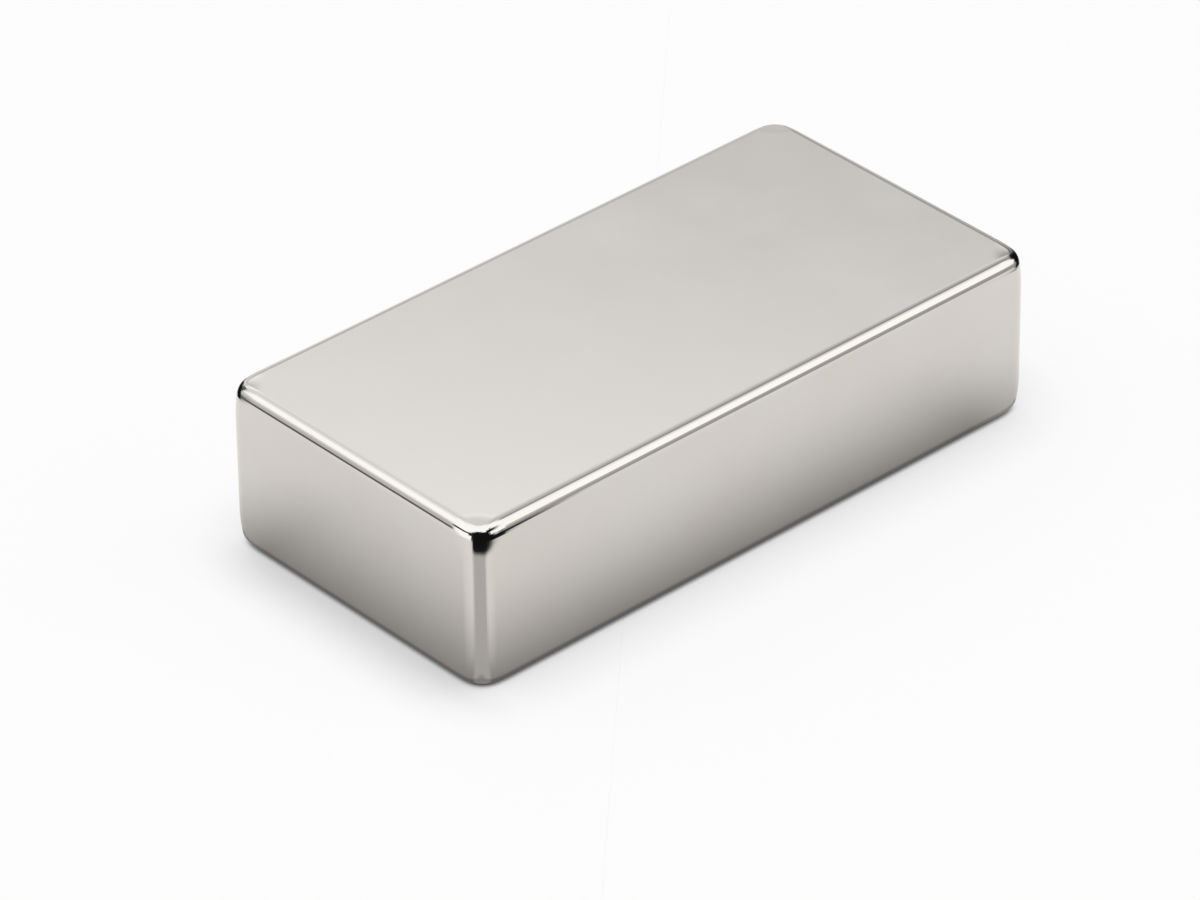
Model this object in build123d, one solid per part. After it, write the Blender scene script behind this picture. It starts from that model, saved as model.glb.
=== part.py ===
from build123d import *
import os

# Block magnet: a rectangular block of sintered magnet alloy with a bright nickel plating.
# The block is pressed, ground flat on all six sides and tumbled before it is plated,
# which leaves its faces flat and wears every edge and corner to an even rounding.
# X runs along the length, Y across the width and Z through the thickness.
# The origin is the middle of the lower pole face, so the block stands on Z = 0.

# Driving dimensions, in millimetres
length = 50.0
width = 25.0
thickness = 12.5
rim_radius = 0.9
corner_wear = 0.6

# Tumbling wears the upright edges further than the rims of the pole faces
upright_radius = rim_radius + corner_wear


def ground_blank():
    """The blank as it leaves the grinder: six flat sides that meet in sharp edges."""
    pole_outline = Rectangle(length, width)
    return extrude(pole_outline, amount=thickness)


def tumbled(blank):
    """The blank with its four upright edges rounded first, and then both rims in one go.

    Each rim runs over the rounded upright edges in a single closed loop, so the corners
    come out as smooth blends with no point or crease.
    """
    upright_edges = blank.edges().filter_by(Axis.Z)
    block = fillet(upright_edges, upright_radius)
    upper_rim = block.faces().sort_by(Axis.Z)[-1].outer_wire().edges()
    lower_rim = block.faces().sort_by(Axis.Z)[0].outer_wire().edges()
    return fillet(upper_rim + lower_rim, rim_radius)


block_magnet = tumbled(ground_blank())

os.makedirs("parts", exist_ok=True)
export_step(block_magnet, "parts/block_magnet.step")
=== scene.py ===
import math

import bpy
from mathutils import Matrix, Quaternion, Vector


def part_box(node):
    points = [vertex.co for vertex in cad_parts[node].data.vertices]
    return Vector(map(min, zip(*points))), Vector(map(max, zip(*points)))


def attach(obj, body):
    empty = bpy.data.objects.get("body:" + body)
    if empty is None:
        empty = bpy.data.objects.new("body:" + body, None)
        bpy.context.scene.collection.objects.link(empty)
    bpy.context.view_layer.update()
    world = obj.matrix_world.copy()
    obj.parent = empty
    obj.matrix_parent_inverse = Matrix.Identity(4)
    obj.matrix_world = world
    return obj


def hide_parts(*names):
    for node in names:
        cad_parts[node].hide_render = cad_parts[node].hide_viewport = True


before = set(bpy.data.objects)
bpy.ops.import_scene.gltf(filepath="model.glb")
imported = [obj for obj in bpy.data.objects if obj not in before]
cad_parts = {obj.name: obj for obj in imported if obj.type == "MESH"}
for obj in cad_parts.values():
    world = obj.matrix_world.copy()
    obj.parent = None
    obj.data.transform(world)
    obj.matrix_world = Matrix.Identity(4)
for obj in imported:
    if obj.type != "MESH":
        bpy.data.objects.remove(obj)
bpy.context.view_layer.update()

# The magnet block is one piece of sintered magnet alloy: pressed, ground flat on six sides, tumbled
# and plated with bright nickel. Tumbling rounds its rims, its upright edges a little further and its
# eight tips most of all. The skin follows that rule, which a node tree works out from these sizes.
RIM_RADIUS = 0.0009
UPRIGHT_RADIUS = 0.0015
TIP_LOSS = 0.00036
TIP_REACH = 0.0027
TIP_BLEND = 6.0
EDGE_BAND = 0.0036
EDGE_ROWS = 24
FLAT_ROWS = 4
POLISHED_FACING = 0.9
CLOUDS = dict(per_metre=130.0, detail=3.0, roughness=0.55)
GRAIN = dict(per_metre=5000.0, detail=2.0, roughness=0.6)
SWELL = dict(per_metre=220.0, detail=1.0, roughness=0.4)
CLOUD_RANGE = (0.3, 0.7)
GRAIN_HEIGHT = 0.0000004
SWELL_HEIGHT = 0.0000025
WARM_NICKEL = (0.690, 0.664, 0.630, 1.0)
PALE_NICKEL = (0.712, 0.692, 0.666, 1.0)
POLISHED_NICKEL = (0.740, 0.716, 0.685, 1.0)
EDGE_BRIGHTENING = 0.7
CLEAR_ROUGHNESS = 0.10
HAZY_ROUGHNESS = 0.14
EDGE_ROUGHNESS = 0.08

block_low, block_high = (Vector(corner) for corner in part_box("block_magnet"))
block_size = block_high - block_low


def place(tree, kind, feeds=None, **settings):
    """Adds a node with these settings, and feeds its inputs with values or other nodes' outputs."""
    node = tree.nodes.new(kind)
    for setting, choice in settings.items():
        setattr(node, setting, choice)
    for socket, feed in (feeds or {}).items():
        if isinstance(feed, bpy.types.NodeSocket):
            tree.links.new(feed, node.inputs[socket])
        else:
            node.inputs[socket].default_value = feed
    return node


def number(tree, operation, *feeds):
    """A sum on numbers, such as ADD or MULTIPLY, and its result."""
    return place(tree, "ShaderNodeMath", dict(enumerate(feeds)), operation=operation).outputs[0]


def vector(tree, operation, *feeds):
    """A sum on vectors, and its vector result."""
    node = place(tree, "ShaderNodeVectorMath", dict(enumerate(feeds)), operation=operation)
    return node.outputs["Vector"]


def stretched(tree, feed, factor):
    """A vector times a number."""
    node = place(tree, "ShaderNodeVectorMath", {0: feed, "Scale": factor}, operation="SCALE")
    return node.outputs["Vector"]


def length_of(tree, feed):
    """How long a vector is."""
    return place(tree, "ShaderNodeVectorMath", {0: feed}, operation="LENGTH").outputs["Value"]


def joined(tree, x, y, z):
    """A vector from its three numbers."""
    return place(tree, "ShaderNodeCombineXYZ", {0: x, 1: y, 2: z}).outputs[0]


def split(tree, feed):
    """The three numbers of a vector, as X, Y and Z."""
    return place(tree, "ShaderNodeSeparateXYZ", {0: feed}).outputs


def remapped(tree, feed, old_low, old_high, new_low, new_high, **settings):
    """A number carried over from one range to another, and held at its ends."""
    ends = (feed, old_low, old_high, new_low, new_high)
    return place(tree, "ShaderNodeMapRange", dict(enumerate(ends)), **settings).outputs["Result"]


def blended(tree, share, first, second):
    """A number that goes from the first to the second as the share goes from 0 to 1."""
    return place(tree, "ShaderNodeMix", {0: share, 2: first, 3: second}).outputs[0]


def tinted(tree, share, first, second):
    """A colour that goes from the first to the second as the share goes from 0 to 1."""
    return place(tree, "ShaderNodeMix", {0: share, 6: first, 7: second}, data_type="RGBA").outputs[2]


def rowed_box(tree, sizes, half):
    """A box with the same rows on every side, drawn close together in a band along its edges.

    Gives its mesh, the octant that each point lies in, and the point's place mirrored into the first.
    """
    half_rows = number(tree, "ADD", sizes["Edge Rows"], sizes["Flat Rows"])
    rows = number(tree, "MULTIPLY_ADD", half_rows, 2.0, 1.0)
    cube = place(tree, "GeometryNodeMeshCube",
                 {"Size": (2.0, 2.0, 2.0), "Vertices X": rows, "Vertices Y": rows, "Vertices Z": rows})
    corner_share = place(tree, "GeometryNodeInputPosition").outputs[0]
    octant = vector(tree, "SIGN", corner_share)
    from_centre = vector(tree, "ABSOLUTE", corner_share)

    band_start = number(tree, "DIVIDE", sizes["Flat Rows"], half_rows)
    on_flats = vector(tree, "MINIMUM", from_centre, joined(tree, band_start, band_start, band_start))
    in_band = vector(tree, "SUBTRACT", from_centre, on_flats)
    band = joined(tree, sizes["Edge Band"], sizes["Edge Band"], sizes["Edge Band"])
    flats = stretched(tree, vector(tree, "SUBTRACT", half, band), number(tree, "DIVIDE", 1.0, band_start))
    band_stretch = number(tree, "DIVIDE", sizes["Edge Band"], number(tree, "SUBTRACT", 1.0, band_start))
    box_point = vector(tree, "ADD", vector(tree, "MULTIPLY", on_flats, flats),
                       stretched(tree, in_band, band_stretch))
    return cube.outputs["Mesh"], octant, box_point


def evenly_rounded(tree, sizes, half, box_point):
    """Where a point of the box lies once the edges are rounded, and which way the skin faces there."""
    # Seen from above, what lies past the centre lines of the upright edges turns round them
    rim, upright = sizes["Rim Radius"], sizes["Upright Radius"]
    centre_lines = vector(tree, "SUBTRACT", half, joined(tree, upright, upright, rim))
    held = vector(tree, "MINIMUM", box_point, centre_lines)
    past = split(tree, vector(tree, "SUBTRACT", box_point, held))
    aside = vector(tree, "NORMALIZE", joined(tree, past["X"], past["Y"], 0.0))
    distance = number(tree, "MAXIMUM", past["X"], past["Y"])

    # Seen from the side, what is left past the rim's own centre line turns round that
    before_rim = number(tree, "MINIMUM", distance, number(tree, "SUBTRACT", upright, rim))
    past_rim = number(tree, "SUBTRACT", distance, before_rim)
    turned = split(tree, vector(tree, "NORMALIZE", joined(tree, past_rim, past["Z"], 0.0)))
    facing = vector(tree, "ADD", stretched(tree, aside, turned["X"]), joined(tree, 0.0, 0.0, turned["Y"]))
    even_point = vector(tree, "ADD", vector(tree, "ADD", held, stretched(tree, aside, before_rim)),
                        stretched(tree, facing, rim))
    return even_point, facing


def tumbled_block_tree():
    """The rule of the block's shape: a box of square rows, with each point moved onto the worn skin."""
    tree = bpy.data.node_groups.new("tumbled block", "GeometryNodeTree")
    tree.interface.new_socket("Geometry", in_out="OUTPUT", socket_type="NodeSocketGeometry")
    for name in ("Length", "Width", "Thickness", "Rim Radius", "Upright Radius", "Tip Loss", "Tip Reach",
                 "Edge Band"):
        tree.interface.new_socket(name, in_out="INPUT", socket_type="NodeSocketFloat")
    for name in ("Edge Rows", "Flat Rows"):
        tree.interface.new_socket(name, in_out="INPUT", socket_type="NodeSocketInt")
    tree.interface.new_socket("Plating", in_out="INPUT", socket_type="NodeSocketMaterial")
    sizes = place(tree, "NodeGroupInput").outputs
    half = stretched(tree, joined(tree, sizes["Length"], sizes["Width"], sizes["Thickness"]), 0.5)
    box_mesh, octant, box_point = rowed_box(tree, sizes, half)
    even_point, facing = evenly_rounded(tree, sizes, half, box_point)

    # The tips lose more than the edges do, and the loss fades out evenly round them
    from_tip = length_of(tree, vector(tree, "SUBTRACT", half, even_point))
    nearness = remapped(tree, from_tip, sizes["Tip Reach"], 0.0, 0.0, 1.0)
    tip_wear = number(tree, "MULTIPLY", nearness, nearness)
    lost = number(tree, "MULTIPLY", tip_wear, sizes["Tip Loss"])
    skin_point = vector(tree, "SUBTRACT", even_point, stretched(tree, facing, lost))

    # All of it is worked out before a point moves, and the block is raised to stand on its lower face
    known = place(tree, "GeometryNodeCaptureAttribute", {"Geometry": box_mesh}, domain="POINT")
    known.capture_items.new("VECTOR", "Skin Point")
    known.capture_items.new("VECTOR", "Facing")
    known.capture_items.new("FLOAT", "Tip Wear")
    tree.links.new(vector(tree, "MULTIPLY", skin_point, octant), known.inputs["Skin Point"])
    tree.links.new(vector(tree, "MULTIPLY", facing, octant), known.inputs["Facing"])
    tree.links.new(tip_wear, known.inputs["Tip Wear"])
    raised_point = vector(tree, "ADD", known.outputs["Skin Point"],
                          vector(tree, "MULTIPLY", half, (0.0, 0.0, 1.0)))
    skin = place(tree, "GeometryNodeSetPosition",
                 {"Geometry": known.outputs["Geometry"], "Position": raised_point}).outputs[0]

    # The flats and the even rounding face exactly as the rule says, the worn tips as their mesh does
    by_mesh = number(tree, "MINIMUM", number(tree, "MULTIPLY", known.outputs["Tip Wear"], TIP_BLEND), 1.0)
    mesh_facing = place(tree, "GeometryNodeInputNormal").outputs["Normal"]
    skin_facing = place(tree, "ShaderNodeMix", {0: by_mesh, 4: known.outputs["Facing"], 5: mesh_facing},
                        data_type="VECTOR").outputs[1]
    smooth = place(tree, "GeometryNodeSetMeshNormal",
                   {"Mesh": skin, "Custom Normal": vector(tree, "NORMALIZE", skin_facing)},
                   mode="FREE", domain="POINT").outputs[0]

    # How far the skin has turned from the flats is kept for the plating, which is polished there
    faces = split(tree, vector(tree, "ABSOLUTE", known.outputs["Facing"]))
    flatness = number(tree, "MAXIMUM", number(tree, "MAXIMUM", faces["X"], faces["Y"]), faces["Z"])
    edge_wear = remapped(tree, flatness, 1.0, POLISHED_FACING, 0.0, 1.0)
    worn = place(tree, "GeometryNodeStoreNamedAttribute",
                 {"Geometry": smooth, "Name": "edge wear", "Value": edge_wear},
                 data_type="FLOAT", domain="POINT").outputs[0]

    whole = place(tree, "GeometryNodeRealizeInstances", {"Geometry": worn}).outputs[0]
    plated = place(tree, "GeometryNodeSetMaterial", {"Geometry": whole, "Material": sizes["Plating"]})
    place(tree, "NodeGroupOutput", {"Geometry": plated.outputs[0]})
    return tree


def unevenness(tree, spot, per_metre, detail, roughness):
    """A value that wanders between 0 and 1 over the surface, so many times in a metre."""
    feeds = {"Vector": spot, "Scale": per_metre, "Detail": detail, "Roughness": roughness}
    return place(tree, "ShaderNodeTexNoise", feeds).outputs["Fac"]


def nickel_plating():
    """Bright nickel: a mirror gone slightly soft, warmer than chrome, and most polished on the edges."""
    material = bpy.data.materials.new("nickel plating")
    material.use_nodes = True
    tree = material.node_tree
    surface = tree.nodes["Principled BSDF"]
    surface.inputs["Metallic"].default_value = 1.0
    spot = place(tree, "ShaderNodeTexCoord").outputs["Object"]
    wear = place(tree, "ShaderNodeAttribute", attribute_name="edge wear").outputs["Fac"]

    # Wide clouds of a slightly warmer and a slightly paler tone, as the plating bath leaves them
    clouds = unevenness(tree, spot, **CLOUDS)
    tint = tinted(tree, remapped(tree, clouds, *CLOUD_RANGE, 0.0, 1.0), WARM_NICKEL, PALE_NICKEL)
    tint = tinted(tree, number(tree, "MULTIPLY", wear, EDGE_BRIGHTENING), tint, POLISHED_NICKEL)
    tree.links.new(tint, surface.inputs["Base Color"])

    # The flats keep a trace of grinding under the plating, which tumbling has polished off the edges
    haze = remapped(tree, clouds, *CLOUD_RANGE, CLEAR_ROUGHNESS, HAZY_ROUGHNESS)
    tree.links.new(blended(tree, wear, haze, EDGE_ROUGHNESS), surface.inputs["Roughness"])
    grain = unevenness(tree, spot, **GRAIN)
    swell = unevenness(tree, spot, **SWELL)
    fine_relief = number(tree, "MULTIPLY", grain, GRAIN_HEIGHT)
    relief = number(tree, "MULTIPLY_ADD", swell, SWELL_HEIGHT, fine_relief)
    bump = place(tree, "ShaderNodeBump", {"Height": relief, "Distance": 1.0, "Strength": 1.0})
    tree.links.new(bump.outputs["Normal"], surface.inputs["Normal"])
    return material


block_rule = bpy.data.objects.new("block rule", bpy.data.meshes.new("block rule"))
bpy.context.scene.collection.objects.link(block_rule)
rule = block_rule.modifiers.new("tumbled block", "NODES")
rule.node_group = tumbled_block_tree()
block_inputs = {"Length": block_size.x, "Width": block_size.y, "Thickness": block_size.z,
                "Rim Radius": RIM_RADIUS, "Upright Radius": UPRIGHT_RADIUS, "Tip Loss": TIP_LOSS,
                "Tip Reach": TIP_REACH, "Edge Band": EDGE_BAND, "Edge Rows": EDGE_ROWS,
                "Flat Rows": FLAT_ROWS, "Plating": nickel_plating()}
for socket in rule.node_group.interface.items_tree:
    if socket.in_out == "INPUT":
        rule[socket.identifier] = block_inputs[socket.name]
evaluated = block_rule.evaluated_get(bpy.context.evaluated_depsgraph_get())
magnet = bpy.data.objects.new("magnet", bpy.data.meshes.new_from_object(evaluated))
magnet.data.name = "magnet"
bpy.context.scene.collection.objects.link(magnet)
block_rule.modifiers.remove(rule)
bpy.data.objects.remove(block_rule)
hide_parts("block_magnet")
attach(magnet, "root")

# The camera looks down on the near left corner of the block through a long lens, and is held a
# little crooked.
AIM_POINT = Vector((-0.00116, 0.00216, 0.00125))
CAMERA_AZIMUTH = -41.97
CAMERA_ELEVATION = 33.51
CAMERA_ROLL = -0.7
CAMERA_DISTANCE = 0.5068
FOCAL_LENGTH = 225.06
SENSOR_WIDTH = 36.0
NEAREST_SEEN = 0.01
FARTHEST_SEEN = 20.0

azimuth = math.radians(CAMERA_AZIMUTH)
elevation = math.radians(CAMERA_ELEVATION)
toward_camera = Vector((math.sin(azimuth) * math.cos(elevation),
                        -math.cos(azimuth) * math.cos(elevation),
                        math.sin(elevation)))
camera_lens = bpy.data.cameras.new("camera")
camera_lens.lens = FOCAL_LENGTH
camera_lens.sensor_width = SENSOR_WIDTH
camera_lens.clip_start = NEAREST_SEEN
camera_lens.clip_end = FARTHEST_SEEN
camera = bpy.data.objects.new("camera", camera_lens)
bpy.context.scene.collection.objects.link(camera)
camera.location = AIM_POINT + toward_camera * CAMERA_DISTANCE
camera_turn = toward_camera.to_track_quat("Z", "Y") @ Quaternion((0.0, 0.0, 1.0), math.radians(CAMERA_ROLL))
camera.rotation_euler = camera_turn.to_euler()
bpy.context.scene.camera = camera

# The table is a sheet of white paper that reaches out of view on every side. The camera sees it
# white, with the block's shadow painted over a little real shading. Mirrored in the plating it is
# painted: painted shade toward the block, a painted gleam, and painted dark where it ends in the
# dark of the room. Distances are in metres and turns in degrees, and a tone of 1 is white.
TABLE_HALF = 6.0
PAPER_TONE = 0.8

# As the camera sees it, with a painted shadow round the block
WHITE = 0.995
CAMERA_WHITE_SHARE = 0.85
CONTACT_DISTANCE = 0.0055
PAINTED_HALO_SHADE_STOPS = [(0.42, 0.56), (0.50, 0.42), (0.58, 0.30), (0.69, 0.21), (0.78, 0.14), (0.88, 0.06),
              (0.97, 0.0)]
PAINTED_CONTACT_LINE_STOPS = [(0.10, 0.97), (0.22, 0.88), (0.34, 0.62), (0.44, 0.36), (0.52, 0.0)]
LEFT_END_FADE = (0.0015, -0.001)
LEFT_TIP_FADE = (0.003, -0.005)
FRONT_PAINTED_SHADE_SHARE = 0.45

# As the plating mirrors it, painted with shade, light and dark
WARM_PAPER = (1.0, 0.982, 0.966, 1.0)
# Painted shade toward the block, in the mirrored paper
SHADE_SETBACK = (0.005, 0.003)
SHADE_REACH = 0.020
SHADE_STOPS = [(0.0, 0.26), (0.08, 0.38), (0.16, 0.49), (0.27, 0.64), (0.37, 0.755), (0.48, 0.85),
               (0.58, 0.90), (1.0, 0.95)]
FRONT_LIFT = 1.12
# Painted shade where the mirrored paper meets the block
SEAM_REACH = 0.0006
SEAM_SHADE = 0.6
# Where the mirrored paper is painted dark
LEFT_PAINTED_DARK_DISTANCES = (0.07, 0.14)
LEFT_PAINTED_DARK_TURNS = (-78.0, -86.0)
RIGHT_PAINTED_DARK_DISTANCES = (0.22, 0.5)
LEFT_TO_RIGHT_TURNS = (-20.0, 20.0)
FAR_TABLE_TURNS = (165.0, 150.0)
# A painted gleam, as bright as a softbox, on the mirrored paper
PAINTED_GLEAM_DISTANCES = (0.035, 0.06)
PAINTED_GLEAM_LEFT_TURNS = (-84.0, -78.0)
PAINTED_GLEAM_RIGHT_TURNS = (-28.0, -36.0)
# A wedge of painted shade before the front corner
PAINTED_SHADE_WEDGE_TURNS = (38.0, 22.0)
PAINTED_SHADE_WEDGE_SHARE = 0.9
PAINTED_SHADE_WEDGE_TONE = 0.50
# Painted black beyond the front corner
PAINTED_BLACK_WEDGE_CENTRE = 26.0
PAINTED_BLACK_WEDGE_TURNS = (56.0, 51.0)
PAINTED_BLACK_WEDGE_DISTANCES = (0.0211, 0.0257)
PAINTED_BLACK_WEDGE_SWEEP = 0.00006
SWEEP_END = 25.0
# Painted black past the two side corners
SIDE_CORNER_DISTANCES = (0.022, 0.032)
SIDE_CORNER_NEAR_TURNS = (104.0, 114.0)
SIDE_CORNER_FAR_TURNS = (166.0, 156.0)

# The tones of the room, which light the block, and which the mirrored paper is painted with where it runs
# into the room
DARK_ROOM = 0.12
BLACK_ROOM = 0.008
SOFTBOX = 1.32

table_mesh = bpy.data.meshes.new("table")
table_mesh.from_pydata([(-TABLE_HALF, -TABLE_HALF, 0.0), (TABLE_HALF, -TABLE_HALF, 0.0),
                        (TABLE_HALF, TABLE_HALF, 0.0), (-TABLE_HALF, TABLE_HALF, 0.0)], [], [(0, 1, 2, 3)])
table = bpy.data.objects.new("table", table_mesh)
bpy.context.scene.collection.objects.link(table)

toward_level = Vector((toward_camera.x, toward_camera.y, 0.0)).normalized()
right_level = Vector((-toward_level.y, toward_level.x, 0.0))


def ramp(tree, feed, stops):
    """A grey that follows a number: stops are (number, grey)."""
    node = place(tree, "ShaderNodeValToRGB", {"Fac": feed})
    while len(node.color_ramp.elements) < len(stops):
        node.color_ramp.elements.new(1.0)
    for element, (position, grey) in zip(node.color_ramp.elements, stops):
        element.position = position
        element.color = (grey, grey, grey, 1.0)
    return place(tree, "ShaderNodeSeparateColor", {0: node.outputs["Color"]}).outputs[0]


def along(tree, feed, direction):
    """How far a vector reaches along a direction."""
    return place(tree, "ShaderNodeVectorMath", {0: feed, 1: tuple(direction)},
                 operation="DOT_PRODUCT").outputs["Value"]


def bearing_of(tree, to_right, ahead):
    """Which way something lies, in degrees to the right of what lies ahead."""
    return number(tree, "DEGREES", number(tree, "ARCTAN2", to_right, ahead))


def smooth_step(tree, feed, start, end):
    """A number that climbs smoothly from 0 to 1 between two values of another."""
    return remapped(tree, feed, start, end, 0.0, 1.0, interpolation_type="SMOOTHSTEP")


def all_of(tree, first, *others):
    """A share that is 1 only where each of these shares is."""
    share = first
    for other in others:
        share = number(tree, "MULTIPLY", share, other)
    return share


def seen_sheet_painted_shadow(tree, spot):
    """The sheet that the camera sees: white, with a painted shadow round the block, a soft painted shade and
    a thin dark painted contact line, over a little real diffuse shading.
    """
    contact = place(tree, "ShaderNodeAmbientOcclusion", {"Distance": CONTACT_DISTANCE}).outputs["AO"]

    # Painted shadow, read from ambient occlusion: it is deepest along the left end of the block, as far as
    # its far tip
    left_end = [-block_size.x / 2 + offset for offset in LEFT_END_FADE]
    left_tip = [block_size.y / 2 + offset for offset in LEFT_TIP_FADE]
    spot_at = split(tree, spot)
    by_left_end = all_of(tree, smooth_step(tree, spot_at["X"], *left_end),
                         smooth_step(tree, spot_at["Y"], *left_tip))
    # Painted shade: a soft halo and a thin dark contact line darken the white glow
    painted_halo_shade = number(tree, "MULTIPLY", ramp(tree, contact, PAINTED_HALO_SHADE_STOPS),
                  blended(tree, by_left_end, FRONT_PAINTED_SHADE_SHARE, 1.0))
    painted_contact_line = ramp(tree, contact, PAINTED_CONTACT_LINE_STOPS)
    tone = number(tree, "SUBTRACT", 1.0, number(tree, "MAXIMUM", painted_halo_shade, painted_contact_line))

    # The glow carries the painted shadow, mixed over a little real diffuse shading
    paper = place(tree, "ShaderNodeBsdfDiffuse", {"Color": (WHITE, WHITE, WHITE, 1.0)})
    painted_shadow_glow = place(tree, "ShaderNodeEmission", {"Strength": tone})
    return place(tree, "ShaderNodeMixShader",
                 {0: CAMERA_WHITE_SHARE, 1: paper.outputs[0], 2: painted_shadow_glow.outputs[0]}).outputs[0]


def mirrored_sheet_painted_light(tree, spot):
    """The sheet that the plating mirrors, painted with light and shade: painted shade toward the block, a
    painted gleam, and painted dark or black farther off.
    """
    footprint = (block_size.x / 2, block_size.y / 2, 0.0)
    shade_end = (block_size.x / 2 - SHADE_SETBACK[0], block_size.y / 2 - SHADE_SETBACK[1], 0.0)
    front_corner = (-block_size.x / 2 + UPRIGHT_RADIUS, -block_size.y / 2 + UPRIGHT_RADIUS, 0.0)

    # Painted shade: the paper darkens toward the block, more so on the side of the camera
    past_sides = vector(tree, "SUBTRACT", vector(tree, "ABSOLUTE", spot), footprint)
    past_block = vector(tree, "MAXIMUM", past_sides, (0.0, 0.0, 0.0))
    to_block = length_of(tree, past_block)
    past_shade = vector(tree, "MAXIMUM", vector(tree, "SUBTRACT", spot, shade_end), past_block)
    to_shade = length_of(tree, vector(tree, "MULTIPLY", past_shade, (1.0, FRONT_LIFT, 0.0)))
    tone = ramp(tree, number(tree, "DIVIDE", to_shade, SHADE_REACH), SHADE_STOPS)

    # Some way off it is painted with the dark of the room, sooner on the left, where a painted gleam as
    # bright as a softbox comes before that
    from_corner = vector(tree, "SUBTRACT", spot, front_corner)
    distance = length_of(tree, from_corner)
    turn = bearing_of(tree, along(tree, from_corner, right_level), along(tree, from_corner, toward_level))
    either_turn = number(tree, "ABSOLUTE", turn)
    left_painted_dark = all_of(tree, smooth_step(tree, distance, *LEFT_PAINTED_DARK_DISTANCES),
                       smooth_step(tree, turn, *LEFT_PAINTED_DARK_TURNS))
    right_painted_dark = smooth_step(tree, distance, *RIGHT_PAINTED_DARK_DISTANCES)
    side_painted_dark = blended(tree, smooth_step(tree, turn, *LEFT_TO_RIGHT_TURNS), left_painted_dark, right_painted_dark)
    far_table_painted_dark = all_of(tree, smooth_step(tree, either_turn, *FAR_TABLE_TURNS), side_painted_dark)
    tone = blended(tree, far_table_painted_dark, tone, DARK_ROOM)
    # Painted light: the paper glows as bright as a softbox here
    left_painted_gleam = all_of(tree, smooth_step(tree, distance, *PAINTED_GLEAM_DISTANCES),
                        smooth_step(tree, turn, *PAINTED_GLEAM_LEFT_TURNS),
                        smooth_step(tree, turn, *PAINTED_GLEAM_RIGHT_TURNS))
    tone = blended(tree, left_painted_gleam, tone, SOFTBOX)

    # A wedge of painted shade lies before the front corner, and beyond it the paper is painted black, a
    # little nearer on the right than on the left
    before_corner = smooth_step(tree, either_turn, *PAINTED_SHADE_WEDGE_TURNS)
    painted_shade_wedge = number(tree, "MULTIPLY", before_corner, PAINTED_SHADE_WEDGE_SHARE)
    tone = blended(tree, painted_shade_wedge, tone, PAINTED_SHADE_WEDGE_TONE)
    off_centre = number(tree, "ABSOLUTE", number(tree, "SUBTRACT", turn, PAINTED_BLACK_WEDGE_CENTRE))
    sweep = number(tree, "MINIMUM", number(tree, "MAXIMUM", turn, 0.0), SWEEP_END)
    swept_distance = number(tree, "MULTIPLY_ADD", sweep, PAINTED_BLACK_WEDGE_SWEEP, distance)
    painted_black_wedge = all_of(tree, smooth_step(tree, off_centre, *PAINTED_BLACK_WEDGE_TURNS),
                         smooth_step(tree, swept_distance, *PAINTED_BLACK_WEDGE_DISTANCES))

    # It is painted black past the two side corners too, and painted dull with shade where it meets the block
    painted_black_side_corners = all_of(tree, smooth_step(tree, to_block, *SIDE_CORNER_DISTANCES),
                          smooth_step(tree, either_turn, *SIDE_CORNER_NEAR_TURNS),
                          smooth_step(tree, either_turn, *SIDE_CORNER_FAR_TURNS))
    tone = blended(tree, number(tree, "MAXIMUM", painted_black_wedge, painted_black_side_corners), tone, BLACK_ROOM)
    tone = number(tree, "MULTIPLY", tone, remapped(tree, to_block, 0.0, SEAM_REACH, SEAM_SHADE, 1.0))
    return place(tree, "ShaderNodeEmission", {"Color": WARM_PAPER, "Strength": tone}).outputs[0]


def white_sheet():
    """White paper, whose painted shade toward the block is set apart for the camera and for mirrored rays."""
    material = bpy.data.materials.new("white sheet")
    material.use_nodes = True
    tree = material.node_tree
    tree.nodes.clear()
    spot = place(tree, "ShaderNodeTexCoord").outputs["Object"]
    paper = place(tree, "ShaderNodeBsdfDiffuse", {"Color": (PAPER_TONE, PAPER_TONE, PAPER_TONE, 1.0)})
    light_path = place(tree, "ShaderNodeLightPath").outputs
    sheet = place(tree, "ShaderNodeMixShader",
                  {0: light_path["Is Camera Ray"], 1: paper.outputs[0], 2: seen_sheet_painted_shadow(tree, spot)}).outputs[0]
    sheet = place(tree, "ShaderNodeMixShader",
                  {0: light_path["Is Glossy Ray"], 1: sheet, 2: mirrored_sheet_painted_light(tree, spot)}).outputs[0]
    place(tree, "ShaderNodeOutputMaterial", {"Surface": sheet})
    return material


table_mesh.materials.append(white_sheet())

# The studio room is dark, and black round the camera. A softbox on the ceiling, others on both sides
# and a pale backdrop light the block, with a dark boom and a dark gap between them. Each of them is a
# window of bearings and heights, in degrees as the block sees it, with sides and ends that fade out.
OVERHEAD = 90.0
BLACK_FRONT = dict(centre=24.0, half_turn=46.0, foot=-90.0, head=90.0, side_fade=9.0, end_fade=4.0)
RIGHT_WALL = dict(centre=104.0, half_turn=30.0, foot=-10.0, head=30.0, side_fade=6.0, end_fade=6.0)
RIGHT_WALL_TONE = 0.40

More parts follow.
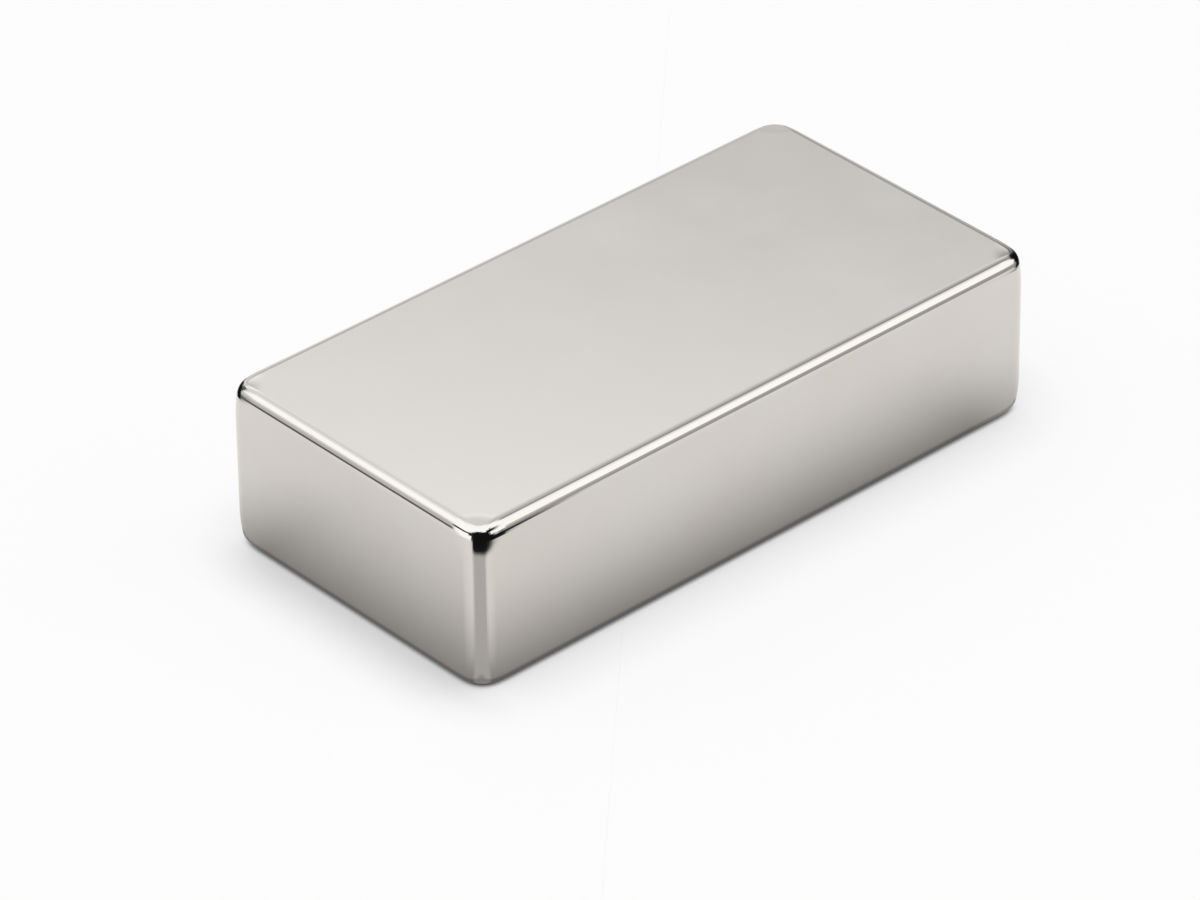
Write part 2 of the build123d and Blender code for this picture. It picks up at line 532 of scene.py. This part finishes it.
# Behind the block, with bearings that run to the left from straight behind
BACKDROP = dict(centre=0.0, half_turn=26.0, foot=4.0, head=90.0, side_fade=12.0, end_fade=8.0)
BACKDROP_STOPS = [(22.0, 0.52), (28.0, 0.31), (35.0, 1.0), (90.0, 0.8)]
BACKDROP_LIGHT = 1.24
BACKDROP_LEFT_LIGHT = 0.0148
BACKDROP_FOLD = dict(centre=-1.0, half_turn=2.0, foot=4.0, head=28.0, side_fade=2.5, end_fade=3.0)
FOLD_TONE = 0.76
LEFT_FLAG = dict(centre=45.0, half_turn=17.0, foot=-90.0, head=8.0, side_fade=8.0, end_fade=8.0)
RIGHT_FLAG = dict(centre=-45.0, half_turn=14.0, foot=-90.0, head=36.0, side_fade=8.0, end_fade=8.0)
CURTAIN = dict(centre=0.0, half_turn=62.0, foot=42.0, head=90.0, side_fade=10.0, end_fade=8.0)
CURTAIN_TONE = 0.89
CURTAIN_RIGHT_FALL = 0.012

# The ceiling softbox, in slopes from straight overhead
CEILING_SIDES = (1.3, 1.1)
CEILING_FAR_EDGE = (-0.60, -0.38)
CEILING_FAR_SLANT = -0.18
CEILING_NEAR_EDGE = (0.86, 0.80)
CEILING_CORNER = (-0.76, -0.66)
CEILING_CORNER_SLANT = -0.6
CEILING_HORIZON = (0.0, 0.05)

# The softboxes at the sides, with a pale sheet under the left one
RIGHT_SOFTBOX = dict(centre=86.0, half_turn=34.0, foot=24.0, head=48.0, side_fade=6.0, end_fade=11.0)
NEAR_RIGHT_SOFTBOX = dict(centre=70.5, half_turn=3.5, foot=8.0, head=30.0, side_fade=3.0, end_fade=4.0)
LEFT_SHEET = dict(centre=-100.0, half_turn=22.0, foot=12.0, head=40.0, side_fade=6.0, end_fade=6.0)
LEFT_SHEET_TONE = 0.68
LEFT_SOFTBOX = dict(centre=-95.0, half_turn=26.0, foot=36.0, head=50.0, side_fade=8.0, end_fade=14.0)
NEAR_LEFT_SOFTBOX = dict(centre=-57.0, half_turn=25.0, foot=-20.0, head=46.0, side_fade=5.0, end_fade=3.0)

# The boom bends like a bow and is thickest toward the camera, and the gap is on the right
BOOM = dict(centre=-58.0, half_turn=29.0, foot=-90.0, head=90.0, side_fade=3.0, end_fade=4.0)
BOOM_CROWN_BEARING = -45.0
BOOM_CROWN_HEIGHT = 32.5
BOOM_BEND = -0.0055
BOOM_THIN_BEARING = -75.0
BOOM_THIN_HALF = 3.0
BOOM_THICKENING = 0.15
BOOM_FADE = 1.5
RIGHT_GAP = dict(centre=56.5, half_turn=19.0, foot=40.0, head=57.0, side_fade=9.0, end_fade=3.0)


def window(tree, bearing, height, centre, half_turn, foot, head, side_fade, end_fade):
    """A share that is 1 inside a window of the room, and fades out round it."""
    off_centre = number(tree, "ABSOLUTE", number(tree, "SUBTRACT", bearing, centre))
    return all_of(tree, smooth_step(tree, off_centre, half_turn + side_fade, half_turn),
                  smooth_step(tree, height, foot - end_fade, foot),
                  smooth_step(tree, height, head + end_fade, head))


def behind_block(tree, tone, behind_bearing, height):
    """The tone of the room with the backdrop in it, two black flags beside that and a curtain above."""
    stops = [(stop_height / OVERHEAD, grey) for stop_height, grey in BACKDROP_STOPS]
    backdrop = ramp(tree, number(tree, "DIVIDE", height, OVERHEAD), stops)
    backdrop = number(tree, "MULTIPLY", backdrop, BACKDROP_LIGHT)
    backdrop = number(tree, "MULTIPLY_ADD", behind_bearing, BACKDROP_LEFT_LIGHT, backdrop)
    tone = blended(tree, window(tree, behind_bearing, height, **BACKDROP), tone, backdrop)
    tone = blended(tree, window(tree, behind_bearing, height, **BACKDROP_FOLD), tone, FOLD_TONE)

    flags = number(tree, "MAXIMUM", window(tree, behind_bearing, height, **LEFT_FLAG),
                   window(tree, behind_bearing, height, **RIGHT_FLAG))
    tone = blended(tree, flags, tone, BLACK_ROOM)
    to_the_right = number(tree, "MINIMUM", behind_bearing, 0.0)
    curtain = number(tree, "MULTIPLY_ADD", to_the_right, CURTAIN_RIGHT_FALL, CURTAIN_TONE)
    return blended(tree, window(tree, behind_bearing, height, **CURTAIN), tone, curtain)


def ceiling_softbox(tree, to_right, ahead, up):
    """The share of the ceiling softbox, which hangs a little askew and is cut slanting at one corner."""
    right_slope = number(tree, "DIVIDE", to_right, up)
    ahead_slope = number(tree, "DIVIDE", ahead, up)
    far_slope = number(tree, "MULTIPLY_ADD", right_slope, CEILING_FAR_SLANT, ahead_slope)
    corner_slope = number(tree, "MULTIPLY_ADD", right_slope, CEILING_CORNER_SLANT, ahead_slope)
    return all_of(tree, smooth_step(tree, number(tree, "ABSOLUTE", right_slope), *CEILING_SIDES),
                  smooth_step(tree, far_slope, *CEILING_FAR_EDGE),
                  smooth_step(tree, ahead_slope, *CEILING_NEAR_EDGE),
                  smooth_step(tree, corner_slope, *CEILING_CORNER),
                  smooth_step(tree, up, *CEILING_HORIZON))


def bent_boom(tree, bearing, height):
    """The share of the boom that stands dark before the left softboxes."""
    from_crown = number(tree, "SUBTRACT", bearing, BOOM_CROWN_BEARING)
    boom_height = number(tree, "MULTIPLY_ADD", number(tree, "MULTIPLY", from_crown, from_crown), BOOM_BEND,
                         BOOM_CROWN_HEIGHT)
    off_boom = number(tree, "ABSOLUTE", number(tree, "SUBTRACT", height, boom_height))
    from_thin = number(tree, "MAXIMUM", number(tree, "SUBTRACT", bearing, BOOM_THIN_BEARING), 0.0)
    boom_half = number(tree, "MULTIPLY_ADD", from_thin, BOOM_THICKENING, BOOM_THIN_HALF)
    return all_of(tree, smooth_step(tree, off_boom, number(tree, "ADD", boom_half, BOOM_FADE), boom_half),
                  window(tree, bearing, height, **BOOM))


def studio_room():
    """What lies round the block in each direction, by its bearing from the camera and its height."""
    world = bpy.data.worlds.new("studio room")
    world.use_nodes = True
    tree = world.node_tree
    tree.nodes.clear()
    direction = place(tree, "ShaderNodeTexCoord").outputs["Generated"]
    ahead = along(tree, direction, toward_level)
    to_right = along(tree, direction, right_level)
    up = split(tree, direction)["Z"]
    bearing = bearing_of(tree, to_right, ahead)
    behind_bearing = bearing_of(tree, number(tree, "MULTIPLY", to_right, -1.0),
                                number(tree, "MULTIPLY", ahead, -1.0))
    height = number(tree, "DEGREES", number(tree, "ARCSINE", up))

    # Each part of the room stands before the parts that come earlier
    tone = blended(tree, window(tree, bearing, height, **BLACK_FRONT), DARK_ROOM, BLACK_ROOM)
    tone = blended(tree, window(tree, bearing, height, **RIGHT_WALL), tone, RIGHT_WALL_TONE)
    tone = behind_block(tree, tone, behind_bearing, height)
    tone = blended(tree, ceiling_softbox(tree, to_right, ahead, up), tone, SOFTBOX)
    side_lights = ((RIGHT_SOFTBOX, SOFTBOX), (LEFT_SHEET, LEFT_SHEET_TONE), (LEFT_SOFTBOX, SOFTBOX),
                   (NEAR_LEFT_SOFTBOX, SOFTBOX), (NEAR_RIGHT_SOFTBOX, SOFTBOX))
    for outline, brightness in side_lights:
        tone = blended(tree, window(tree, bearing, height, **outline), tone, brightness)
    boom_or_gap = number(tree, "MAXIMUM", bent_boom(tree, bearing, height),
                         window(tree, bearing, height, **RIGHT_GAP))
    tone = blended(tree, boom_or_gap, tone, BLACK_ROOM)

    # The camera itself sees white all round
    light_path = place(tree, "ShaderNodeLightPath").outputs
    seen = blended(tree, light_path["Is Camera Ray"], tone, WHITE)
    room = place(tree, "ShaderNodeBackground", {"Color": (1.0, 1.0, 1.0, 1.0), "Strength": seen})
    place(tree, "ShaderNodeOutputWorld", {"Surface": room.outputs[0]})
    return world


bpy.context.scene.world = studio_room()
bpy.context.scene.view_settings.view_transform = "Standard"
